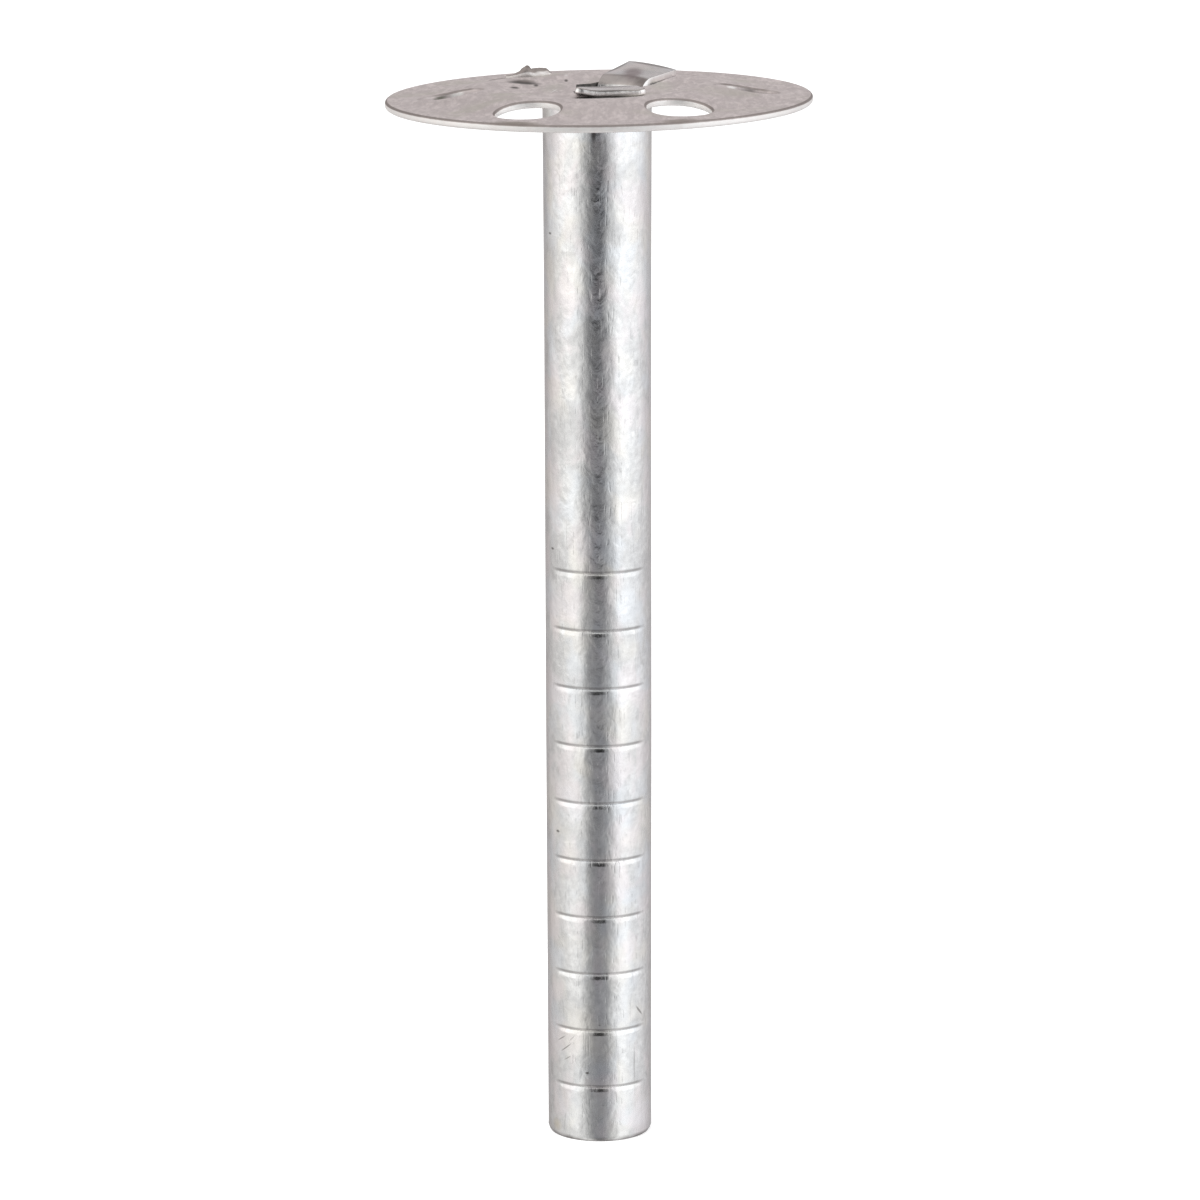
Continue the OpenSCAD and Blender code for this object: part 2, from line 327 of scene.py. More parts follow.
class FIXING_OT_split_sleeve(bpy.types.Operator):
    """Roll the sleeve's strip, press its grooves and bend its two tongues"""

    bl_idname = "fixing.split_sleeve"
    bl_label = "Split Sleeve"

    turns = 150
    # Most distance between the rows of edges along the wall, the lip and the tongue, and in their bends
    wall_row, lip_row, tongue_row = 0.9 * MM, 0.25 * MM, 0.3 * MM
    fold_row, bend_row = radians(18), radians(12)
    # Rows of edges across a groove, in shares of half its width
    groove_rows = (-1, -0.72, -0.45, -0.2, 0, 0.2, 0.45, 0.72, 1, 1.3)
    # How far below the seat the lip leaves its web
    lip_start = 0.05 * MM
    # How far the lip lies to the right at its front, and how far its front corners are drawn in
    lip_shift, lip_corner = 0.2 * MM, 0.3 * MM

    def execute(self, context):
        s = context.scene.fixing_sleeve
        middle = (s.outer - s.sheet) / 2
        top = middle + self.spread(s, s.seat)
        slit = 2 * asin(s.slit / 2 / (s.outer / 2 - s.sheet))
        piece = self.rolled_strip(s, middle, slit)
        self.long_tongue(piece, s, top)
        face_out(piece, lambda face: Vector((face.center.x, face.center.y, 0)).dot(face.normal))
        push(piece, GrooveForm(s).share, -s.groove_depth)
        modify(piece, "SOLIDIFY", thickness=s.sheet, offset=0.0)
        self.wear_end(piece, s)
        combine(piece, self.front_lip(s, top), "UNION")
        round_edges(piece, s.edge, 3)
        zinc = bright_galvanised(context.scene.fixing_finish, s)
        finish_piece(piece, zinc, "split_sleeve")
        return {"FINISHED"}

    def rolled_strip(self, s, middle, slit):
        """Draws the strip's long edge, spins it round as far as the slit, and widens it towards the plate."""
        start = s.slit_turn + slit / 2
        piece = start_point("sleeve_strip", (middle * cos(start), middle * sin(start), 0))
        heights = self.heights(s)
        draw_line((0, 0, high - low) for low, high in zip(heights, heights[1:]))
        spin_all(self.turns, 2 * pi - slit)

        def widened(point):
            share = 1 + self.spread(s, point.z) / middle
            return Vector((point.x * share, point.y * share, point.z))

        place_points(piece, widened)
        return piece

    @staticmethod
    def spread(s, height):
        """How much the wall's radius has grown at a height: evenly at first, then towards the plate."""
        lower, upper = height / (0.4 * s.seat), (height / s.seat - 0.75) / 0.25
        return s.taper * min(1.0, lower) + s.flare * max(0.0, min(1.0, upper)) ** 1.5

    def heights(self, s):
        """Heights of the rows of edges: close together at the grooves and the worn end."""
        rows = [0.0, s.worn_height / 2, s.worn_height]
        half = s.groove_width / 2
        for i in range(s.grooves):
            z = s.first + i * s.pitch
            rows += spaced(rows[-1], z - half * self.groove_rows[-1], self.wall_row)[1:]
            rows += [z + half * share for share in self.groove_rows]
        return rows + spaced(rows[-1], s.seat, self.wall_row)[1:]

    def long_tongue(self, piece, s, middle):
        """Extrudes the long tongue from the top edge, bent over the plate and flattened as it goes."""
        half = asin(s.tongue_width / 2 / middle)

        def root(edge, spot):
            turn = atan2(spot.y, spot.x)
            return spot.z > s.seat - TOUCH and abs(turn - s.tongue_turn) < half

        pick_edges(piece, root)
        for row in self.tongue_rows(s, middle):
            draw_out()
            place_points(piece, lambda point: self.tongue_point(s, middle, point, *row))

    def tongue_rows(self, s, middle):
        """Rows of the long tongue: distance from the axis, height, and share of the way to the tip."""
        bend_z = s.seat + s.run
        path = [(middle, bend_z)]
        for turn in spaced(pi, pi / 2 + s.rise, self.bend_row)[1:]:
            path.append((middle + s.bend + s.bend * cos(turn), bend_z + s.bend * sin(turn)))
        level, height = path[-1]
        for out in spaced(level, s.tongue_reach, self.tongue_row)[1:]:
            path.append((out, height + (out - level) * tan(s.rise)))
        return [(out, z, (out - middle) / (s.tongue_reach - middle)) for out, z in path]

    @staticmethod
    def tongue_point(s, middle, point, out, height, share):
        """Place of a point of the long tongue, whose rows get flatter, more twisted and arched to the tip."""
        turn = Matrix.Rotation(s.tongue_turn, 3, "Z")
        across = (point @ turn).y
        round_back = (middle - sqrt(middle**2 - across**2)) * (1 - share) ** 2
        arch = s.tongue_arch * (1 - (2 * across / s.tongue_width) ** 2)
        lift = share * (across * tan(s.tongue_twist) + arch)
        return turn @ Vector((out - round_back, across, height + lift))

    def front_lip(self, s, middle):
        """The front lip on its web: a strip extruded along its section, with the web's shoulders."""
        web = s.lip_face - s.sheet / 2
        half, shoulder = s.lip_width / 2, sqrt(middle**2 - web**2)
        piece = start_point("front_lip", (web, -shoulder, s.seat - s.web))
        across = [-shoulder] + spaced(-half, half, self.lip_row) + [shoulder]
        draw_line((0, stop - start, 0) for start, stop in zip(across, across[1:]))
        bpy.ops.mesh.select_mode(type="EDGE")
        draw_out((0, 0, s.web - self.lip_start))

        def root(edge, spot):
            level = abs(edge.verts[0].co.z - edge.verts[1].co.z) < TOUCH
            return level and spot.z > s.seat - 2 * self.lip_start and abs(spot.y) < half

        pick_edges(piece, root)
        at, z = web, s.seat - self.lip_start
        for out, height in self.lip_rows(s, web):
            draw_out((out - at, 0, height - z))
            at, z = out, height
        face_out(piece, lambda face: face.normal.z)
        self.trim_lip(piece, s)
        push(piece, lambda point: self.curl(s, point), s.lip_curl, "Z")
        modify(piece, "SOLIDIFY", thickness=s.sheet, offset=0.0)
        round_edges(piece, s.lip_edge, 3)
        piece.data.transform(Matrix.Rotation(s.lip_turn, 4, "Z"))
        return piece

    def lip_rows(self, s, web):
        """Rows of the lip, through its fold and out level: distance from the axis, and height."""
        fold = s.lip_fold + s.sheet / 2
        level = s.lip_height + s.sheet / 2
        path = [(web, level - fold)]
        for turn in spaced(pi, pi / 2, self.fold_row)[1:]:
            path.append((web + fold + fold * cos(turn), level - fold + fold * sin(turn)))
        return path + [(out, path[-1][1]) for out in spaced(path[-1][0], s.lip_reach, self.lip_row)[1:]]

    def trim_lip(self, piece, s):
        """Draws in the lip's left side at the fold, and rounds its two front corners."""
        half = s.lip_width / 2
        for vertex in piece.data.vertices:
            if vertex.co.z > s.seat:
                out = max(0.0, (vertex.co.x - s.lip_face) / (s.lip_reach - s.lip_face))
                corner = max(0.0, (abs(vertex.co.y) - 0.82 * half) / (0.18 * half))
                vertex.co.x -= self.lip_corner * out * corner**2
                if vertex.co.y < 0:
                    vertex.co.y *= out + s.lip_trim * (1 - out)
                vertex.co.y += self.lip_shift * out

    @staticmethod
    def curl(s, point):
        """Share of the curl at a point of the lip: its left corner, and a trace at its right one."""
        if point.z < s.lip_height:
            return 0.0
        out = max(0.0, (point.x - s.lip_face) / (s.lip_reach - s.lip_face))
        left = max(0.0, (-point.y - 0.12 * s.lip_width) / (0.38 * s.lip_width)) ** 1.8
        right = 0.2 * max(0.0, (point.y - 0.38 * s.lip_width) / (0.12 * s.lip_width)) ** 2
        return out * (left + right)

    @staticmethod
    def wear_end(piece, s):
        """Draws in the outer edge of the lower end, as far as it is worn."""
        radius = s.outer / 2
        for vertex in piece.data.vertices:
            if vertex.co.z < s.worn_height and hypot(vertex.co.x, vertex.co.y) > radius - s.sheet / 2:
                share = 1 - s.worn / radius * (1 - vertex.co.z / s.worn_height) ** 1.6
                vertex.co.x *= share
                vertex.co.y *= share


class FIXING_OT_head_plate(bpy.types.Operator):
    """Press the round head plate, with its crown, keying holes, notched bore and torn burr"""

    bl_idname = "fixing.head_plate"
    bl_label = "Head Plate"

    turns = 240
    # The square patch that a hole is punched in: half its width in faces, and where it starts and ends
    patch_turns, patch_from, patch_to = 11, 8.6 * MM, 15.6 * MM
    # Most width of the rings of faces: over the hub, up to the patches, through them and out to the rim
    ring_steps = (0.4 * MM, 0.28 * MM, 0.33 * MM, 0.35 * MM)
    # The two creases in front of the burr: place, half width and half depth in mm, and share of the height
    crease_places = ((-6.15, 4.7, 1.7, 0.95, 1.0), (-6.6, 1.6, 0.9, 0.8, 0.6))
    # The hole with the burr, the arc that the burr covers round it, and its distance beyond the rolled edge
    burr_hole, burr_arc, burr_steps, burr_clear = 2, (radians(-114), radians(-36)), 36, 0.14 * MM
    # Rows of the burr: distance out in mm, and share of its height (below 0, its depth in the sheet in mm)
    burr_rows = ((0.0, -0.15), (0.1, 0.12), (0.16, 0.32), (0.1, 0.52), (0.0, 0.72), (-0.16, 0.9), (-0.38, 1.0))
    # Height of the burr along its arc, from its left end to its right one
    burr_tops = ((0.0, 0.06), (0.13, 0.1), (0.27, 0.46), (0.42, 0.9), (0.48, 0.9), (0.53, 0.6), (0.65, 0.68),
                 (0.8, 0.62), (0.93, 0.45), (1.0, 0.1))

    def execute(self, context):
        s = context.scene.fixing_plate
        piece = self.flat_ring(s)
        for index in range(s.holes):
            self.punch(piece, s, index)
        face_out(piece, lambda face: face.normal.z)
        push(piece, lambda point: self.height(s, hypot(point.x, point.y)) / s.crown, s.crown, "Z")
        push(piece, lambda point: self.warp(s, point, -1), s.warp, "Z")
        push(piece, lambda point: self.warp(s, point, 1), -s.warp / 2, "Z")
        push(piece, self.creases, s.crease, "Z")
        modify(piece, "SOLIDIFY", thickness=s.sheet, offset=1.0)
        round_edges(piece, s.roll, 4)
        combine(piece, self.bore_cutter(s, context.scene.fixing_sleeve), "DIFFERENCE")
        round_edges(piece, s.edge, 2)
        combine(piece, self.torn_burr(s), "UNION")
        piece.data.transform(Matrix.Translation((0, 0, -self.height(s, 0))))
        piece.rotation_euler = (0, -s.lean, 0)
        piece.location = (s.shift, 0, s.seat)
        zinc = matt_galvanised(context.scene.fixing_finish)
        finish_piece(piece, zinc, "head_plate")
        return {"FINISHED"}

    @staticmethod
    def height(s, radius):
        """Height of the plate's underside above the rim's."""
        hub, crest, land = s.hub / 2, s.crest / 2, s.land / 2
        if radius <= hub:
            return s.crown - s.drop
        if radius <= crest:
            return s.crown - s.drop * (1 - ease((radius - hub) / (crest - hub)))
        if radius <= land:
            return s.crown * (1 - ease((radius - crest) / (land - crest)))
        return 0.0

    @staticmethod
    def hole_centre(s, turn):
        """Middle of the keying hole in a direction."""
        return Vector((s.pitch_circle / 2 * cos(turn), s.pitch_circle / 2 * sin(turn), 0))

    def warp(self, s, point, side):
        """Share of the warp at the edges of the two holes at the sides, on one side of them."""
        share = 0.0
        for turn in (s.turn, s.turn + pi):
            out = point - self.hole_centre(s, turn)
            away = hypot(out.x, out.y) / (s.hole / 2)
            if away < 2.0 and out.y * side > 0:
                share += out.y * side / (s.hole / 2) * hump(max(0.0, away - 1.0)) / max(1.0, away)
        return share

    def creases(self, point):
        """Share of the two creases that the tearing raised in front of the burr."""
        return sum(
            high * hump((point.x / MM - x) / wide) * hump((point.y / MM - y) / deep)
            for x, y, wide, deep, high in self.crease_places)

    def flat_ring(self, s):
        """A flat ring of rings of edges out to the rim, closest together where the holes go."""
        inner = s.bore / 2 * 0.48
        piece = open_primitive(
            "head_plate_sheet", bpy.ops.mesh.primitive_circle_add,
            vertices=self.turns, radius=inner, rotation=(0, 0, s.turn),
        )
        bpy.ops.mesh.select_all(action="SELECT")
        stops = (inner, s.hub / 2, self.patch_from, self.patch_to, s.outer / 2)
        radii = [inner]
        for start, stop, step in zip(stops, stops[1:], self.ring_steps):
            radii += spaced(start, stop, step)[1:]
        for radius, new_radius in zip(radii, radii[1:]):
            draw_out()
            share = new_radius / radius
            bpy.ops.transform.resize(value=(share, share, 1), center_override=(0, 0, 0))
        return piece

    def punch(self, piece, s, index):
        """Opens a square patch of the ring and bridges it to a round hole."""
        turn = s.turn + index * 2 * pi / s.holes
        half = (self.patch_turns + 0.2) * 2 * pi / self.turns

        def inside(spot, slack=0.0):
            radius = hypot(spot.x, spot.y)
            away = abs((atan2(spot.y, spot.x) - turn + pi) % (2 * pi) - pi)
            return away < half + slack / radius and self.patch_from - slack < radius < self.patch_to + slack

        pick_faces(piece, inside)
        bpy.ops.mesh.delete(type="FACE")
        bpy.ops.mesh.select_mode(type="EDGE")
        pick_edges(piece, lambda edge, spot: edge.is_boundary and inside(spot, 2 * TOUCH))
        centre = self.hole_centre(s, turn)
        for share in (0.45, 1.0):
            draw_out()
            place_points(
                piece, lambda point: point.lerp(centre + (point - centre).normalized() * s.hole / 2, share))

    @staticmethod
    def bore_cutter(s, sleeve):
        """Solid of the bore, straight at the front and the left, with its notches for the lip and the tongue."""
        tall = 8 * s.sheet
        bore = open_primitive(
            "bore", bpy.ops.mesh.primitive_cylinder_add, vertices=128, radius=s.bore / 2, depth=tall)
        bpy.ops.object.mode_set(mode="OBJECT")
        lip_way = Vector((cos(sleeve.lip_turn), sin(sleeve.lip_turn), 0))
        for way, reach in ((lip_way, sleeve.lip_face), (Vector((-1, 0, 0)), s.bore_left)):
            for vertex in bore.data.vertices:
                vertex.co -= way * max(0.0, vertex.co.dot(way) - reach)
        front = sleeve.lip_face + s.notch
        inner_bend = sleeve.bend - sleeve.sheet / 2
        rise = s.seat + s.sheet - sleeve.seat - sleeve.run
        far = sleeve.outer / 2 + inner_bend - sqrt(inner_bend**2 - rise**2) + 2 * s.notch
        half, lip_half = sleeve.tongue_width / 2 + s.notch, sleeve.lip_width / 2 + s.notch
        for name, turn, reach, right, left in (
            ("lip_notch", sleeve.lip_turn, front, -sleeve.lip_trim * lip_half, lip_half),
            ("tongue_notch", sleeve.tongue_turn, far, -half, half),
        ):
            notch = open_primitive(name, bpy.ops.mesh.primitive_cube_add, size=1.0)
            bpy.ops.object.mode_set(mode="OBJECT")
            start = 0.4 * reach
            notch.data.transform(
                Matrix.Rotation(turn, 4, "Z")
                @ Matrix.Translation(((start + reach) / 2, (right + left) / 2, 0))
                @ Matrix.Diagonal((reach - start, left - right, tall, 1)))
            combine(bore, notch, "UNION")
        return bore

    def torn_burr(self, s):
        """Sheet torn up on the hub side of one keying hole: an arc drawn out by rows to a ragged edge."""
        centre = self.hole_centre(s, s.turn + self.burr_hole * 2 * pi / s.holes)
        start, stop = self.burr_arc
        radius = s.hole / 2 + s.roll + self.burr_clear
        base = self.height(s, s.pitch_circle / 2 - s.hole / 2) + s.sheet
        piece = start_point(
            "torn_burr", (centre.x + radius * cos(stop), centre.y + radius * sin(stop), base - 0.5 * MM))
        spin_all(self.burr_steps, stop - start, centre)

        def torn(point, out, share):
            flat = Vector((point.x - centre.x, point.y - centre.y, 0))
            way = (atan2(flat.y, flat.x) - start) / (stop - start)
            tall = self.burr_height(way)
            ragged = 0.10 * share * lattice.noise(Vector((way * 13, share, 3.1)))
            wavy = 0.12 * tall * lattice.noise(Vector((way * 7, share * 2, 8.4)))
            spot = centre + flat.normalized() * (radius + (out * tall + wavy) * MM)
            high = s.burr * max(0.0, share) * (tall + ragged)
            return Vector((spot.x, spot.y, base + high + min(0.0, share) * MM))

        for row in self.burr_rows:
            draw_out()
            place_points(piece, lambda point: torn(point, *row))
        face_out(piece, lambda face: (face.center - centre).dot(face.normal))
        modify(piece, "SOLIDIFY", thickness=s.burr_sheet, offset=0.0)
        return piece

    def burr_height(self, way):
        """Height of the burr at a share of the way along its arc, as a share of its full height."""
        for (a, low), (b, high) in zip(self.burr_tops, self.burr_tops[1:]):
            if way <= b:
                return low + (high - low) * max(0.0, way - a) / (b - a)
        return self.burr_tops[-1][1]


def feed(tree, socket, value):
    """Links a node or an output to a socket, or sets the socket to a number, a vector or a colour."""
    if isinstance(value, bpy.types.Node):
        value = value.outputs[0]
    if isinstance(value, bpy.types.NodeSocket):
        tree.links.new(value, socket)
    else:
        socket.default_value = (*value, 1.0) if socket.type == "RGBA" else value


def node(tree, kind, feeds=None, **settings):
    """A new shader node with its settings, and with its inputs linked or set."""
    made = tree.nodes.new(kind)
    for key, value in settings.items():
        setattr(made, key, value)
    for key, value in (feeds or {}).items():
        feed(tree, made.inputs[key], value)
    return made


def maths(tree, operation, *values):
    """The output of a Math node."""
    return node(tree, "ShaderNodeMath", dict(enumerate(values)), operation=operation).outputs[0]


def mixed(tree, factor, a, b):
    """The output of a colour mix."""
    return node(tree, "ShaderNodeMix", {0: factor, 6: a, 7: b}, data_type="RGBA").outputs[2]


def ranged(tree, value, low, high, new_low, new_high, smooth=False):
    """The output of a Map Range node."""
    feeds = dict(enumerate((value, low, high, new_low, new_high)))
    kind = "SMOOTHSTEP" if smooth else "LINEAR"
    return node(tree, "ShaderNodeMapRange", feeds, clamp=True, interpolation_type=kind).outputs[0]


def noise(tree, vector, scale, detail=2.0, rough=0.5, stretch=None, distortion=0.0):
    """The value of a noise texture."""
    if stretch:
        vector = node(tree, "ShaderNodeMapping", {"Vector": vector, "Scale": stretch})
    feeds = {"Vector": vector, "Scale": scale, "Detail": detail, "Roughness": rough, "Distortion": distortion}
    return node(tree, "ShaderNodeTexNoise", feeds).outputs[0]


def bumped(tree, *layers):
    """The normal of several bumps, each on the one before: (height, distance)."""
    normal = None
    for height, distance in layers:
        feeds = {"Strength": 1.0, "Distance": distance, "Height": height}
        if normal is not None:
            feeds["Normal"] = normal
        normal = node(tree, "ShaderNodeBump", feeds)
    return normal


def shader_group(build):
    """Makes build(tree) a function that gives its node group, which is built the first time only."""
    @wraps(build)
    def group():
        tree = bpy.data.node_groups.get(build.__name__)
        if tree is None:
            tree = bpy.data.node_groups.new(build.__name__, "ShaderNodeTree")
            build(tree)
        return tree
    return group


def sockets(tree, inputs, outputs):
    """Names a group's sockets and their defaults, and gives its outputs inside and its output node."""
    for name, default in inputs.items():
        kind = "NodeSocketFloat" if isinstance(default, float) else "NodeSocketVector"
        socket = tree.interface.new_socket(name, in_out="INPUT", socket_type=kind)
        socket.default_value = default
    for name in outputs:
        tree.interface.new_socket(name, in_out="OUTPUT", socket_type="NodeSocketFloat")
    return node(tree, "NodeGroupInput").outputs, node(tree, "NodeGroupOutput").inputs


@shader_group
def zinc_mottle(tree):
    """Node group: blotches and grain of a zinc coat."""
    given, masks = sockets(
        tree, {"Vector": (0, 0, 0), "Blotch Scale": 300.0, "Grain Scale": 2500.0, "Draw": (1, 1, 1)},
        ("Blotches", "Grain"))
    drawn = node(tree, "ShaderNodeVectorMath", {0: given["Vector"], 1: given["Draw"]}, operation="MULTIPLY")
    blotch = noise(tree, drawn, given["Blotch Scale"], detail=3.0, rough=0.55, distortion=0.6)
    grain = noise(tree, drawn, given["Grain Scale"], detail=4.0, rough=0.65)
    feed(tree, masks["Blotches"], ranged(tree, blotch, 0.36, 0.64, 0.0, 1.0, True))
    feed(tree, masks["Grain"], ranged(tree, grain, 0.3, 0.7, 0.0, 1.0))


@shader_group
def scuffs(tree):
    """Node group: thin scratches that run one way, broken into short lengths."""
    given, masks = sockets(
        tree, {"Vector": (0, 0, 0), "Scale": 900.0, "Stretch": (1, 1, 0.06), "Thinness": 0.06}, ("Mask",))
    drawn = node(tree, "ShaderNodeVectorMath", {0: given["Vector"], 1: given["Stretch"]}, operation="MULTIPLY")
    lines = node(
        tree, "ShaderNodeTexVoronoi", {"Vector": drawn, "Scale": given["Scale"]}, feature="DISTANCE_TO_EDGE")
    thin = ranged(tree, lines, 0.0, given["Thinness"], 1.0, 0.0)
    broken = noise(tree, given["Vector"], maths(tree, "MULTIPLY", given["Scale"], 0.7))
    feed(tree, masks["Mask"], maths(tree, "MULTIPLY", thin, ranged(tree, broken, 0.52, 0.62, 0.0, 1.0)))


@shader_group
def spot(tree):
    """Node group: a soft elliptical mark of any length and direction about a point."""
    given, masks = sockets(
        tree,
        {"Vector": (0, 0, 0), "Centre": (0, 0, 0), "Reach": (1, 1, 1), "Turn": (0, 0, 0), "Softness": 0.6},
        ("Mask",))
    local = node(
        tree, "ShaderNodeMapping",
        {"Vector": given["Vector"], "Location": given["Centre"], "Rotation": given["Turn"],
         "Scale": given["Reach"]}, vector_type="TEXTURE")
    away = node(tree, "ShaderNodeVectorMath", {0: local}, operation="LENGTH").outputs["Value"]
    core = maths(tree, "SUBTRACT", 1.0, given["Softness"])
    feed(tree, masks["Mask"], ranged(tree, away, core, 1.0, 1.0, 0.0, True))


@shader_group
def sheet_edges(tree):
    """Node group: masks of the cut faces of a level sheet and of the rolled edges beside them, from its normal,
    which carry a painted highlight and a painted dark reflection.
    """
    given, masks = sockets(tree, {"Vector": (0, 0, 0)}, ("Cut", "Rolled"))
    level = node(tree, "ShaderNodeSeparateXYZ", {0: given["Vector"]}).outputs["Z"]
    cut = maths(tree, "MULTIPLY", ranged(tree, level, 0.15, 0.45, 1.0, 0.0, True),
                ranged(tree, level, -0.97, -0.88, 0.0, 1.0, True))
    rolled = maths(tree, "MULTIPLY", ranged(tree, level, 0.2, 0.5, 0.0, 1.0, True),
                   ranged(tree, level, 0.91, 0.985, 1.0, 0.0, True))
    feed(tree, masks["Cut"], cut)
    feed(tree, masks["Rolled"], rolled)


def placed(tree, group, vector, **values):
    """A node group placed in a material with its own values."""
    feeds = {"Vector": vector, **{key.replace("_", " "): value for key, value in values.items()}}
    return node(tree, "ShaderNodeGroup", feeds, node_tree=group)


def marked(tree, at, colour, marks, upright=False):
    """The colour with marks on it: (centre and reach in mm, turn in degrees, softness, colour, strength)."""
    for centre, reach, turn, softness, paint, strength in marks:
        turns = (0, radians(turn), 0) if upright else (0, 0, radians(turn))
        mark = placed(
            tree, spot(), at, Centre=[c * MM for c in centre], Reach=[c * MM for c in reach], Turn=turns,
            Softness=softness)
        colour = mixed(tree, maths(tree, "MULTIPLY", mark, strength), colour, paint)
    return colour


def new_metal(name):
    """A material with an empty metal shader: (material, tree, shader, object coordinates, normal)."""
    material = bpy.data.materials.new(name)
    material.use_nodes = True
    tree = material.node_tree
    tree.nodes.clear()
    shader = node(tree, "ShaderNodeBsdfPrincipled", {"Metallic": 1.0})
    node(tree, "ShaderNodeOutputMaterial", {"Surface": shader})
    where = node(tree, "ShaderNodeTexCoord")
    return material, tree, shader, where.outputs["Object"], where.outputs["Normal"]


# Colours of soil and of painted shade in deep and in shallow marks, of scuffed zinc, and of metal rubbed bright
# and of painted highlights
DARK, GREY, SCUFFED, PALE = (0.10, 0.09, 0.085), (0.26, 0.245, 0.24), (0.36, 0.36, 0.36), (0.92, 0.90, 0.89)
# Colours of the marks on the plate's coat and on its cut faces: the smoothed ends of the side holes, the side
# holes' walls toned near the plate's colour, and a painted highlight on their far walls
SMOOTHED, MUTED_WALL, BRIGHT_WALL = (0.70, 0.64, 0.63), (0.66, 0.60, 0.59), (0.92, 0.90, 0.88)

# Pits, scratches and soil on the sleeve's wall, and a painted shade below the plate, in mm, turned about Y
WALL_SCRATCHES_AND_SHADE = (
    ((-3.80, -2.12, 76.9), (0.3, 0.3, 0.16), 0, 0.7, DARK, 0.8),
    ((-3.72, -2.25, 50.6), (0.3, 0.3, 0.15), 0, 0.7, DARK, 0.8),
    ((-3.40, -2.71, 26.6), (0.3, 0.3, 0.15), 0, 0.7, DARK, 0.8),
    ((-1.05, -4.22, 6.0), (0.25, 0.25, 0.14), 0, 0.7, DARK, 0.8),
    ((3.3, -2.8, 11.1), (0.75, 0.8, 0.1), 60, 0.6, DARK, 0.6),
    ((-2.8, -3.3, 8.0), (0.95, 0.8, 0.07), -45, 0.6, GREY, 0.7),
    ((-3.2, -3.0, 8.7), (0.6, 0.8, 0.06), -42, 0.6, GREY, 0.7),
    ((-2.7, -3.4, 7.1), (0.5, 0.8, 0.06), -40, 0.6, GREY, 0.6),
    ((-2.3, -3.6, 8.9), (0.45, 0.8, 0.05), -50, 0.6, GREY, 0.5),
    # Painted shade below the plate, down the front of the wall
    ((-0.28, -4.4, 85.6), (0.3, 0.5, 1.4), 0, 0.7, DARK, 0.85),
    ((0.55, -4.3, 79.4), (0.5, 0.5, 0.09), 68, 0.6, PALE, 0.8),
    ((0.9, -4.3, 71.8), (0.55, 0.5, 0.08), 25, 0.6, PALE, 0.7),
    ((-3.6, -2.4, 1.0), (0.9, 0.9, 0.8), 0, 0.9, (0.66, 0.60, 0.48), 0.6),
    ((2.9, -3.2, 6.5), (0.07, 0.4, 2.2), 0, 0.6, GREY, 0.4),
)
# Marks on the long tongue, on the lip and inside the sleeve's upper end, in mm: painted dark reflections along
# the tongue's far edges and the lip's front edge, painted shade at the tongue's root and inside the sleeve's
# end, and grey over the lip's fold
TONGUE_MARKS = (
    # Painted dark reflections along the tongue's tip and its far side edge
    ((4.55, 6.95, 89.4), (2.7, 0.42, 1.0), 147, 0.5, GREY, 0.8),
    ((1.72, 6.65, 89.3), (2.3, 0.26, 1.0), 57, 0.6, GREY, 0.8),
    # Painted shade at the tongue's root
    ((3.0, 4.9, 89.0), (1.2, 2.2, 1.0), 0, 0.7, (0.30, 0.245, 0.25), 0.85),
    # Grey over the lip's fold
    ((0.75, -3.0, 89.0), (2.6, 0.7, 0.5), 10, 0.5, GREY, 0.8),
    # Painted dark reflection along the lip's front edge
    ((0.97, -5.1, 89.1), (2.6, 0.35, 0.3), 10, 0.6, DARK, 0.8),
    # Painted shade inside the sleeve's upper end
    ((0.0, 0.0, 86.3), (4.15, 4.15, 2.0), 0, 0.05, DARK, 0.9),
)
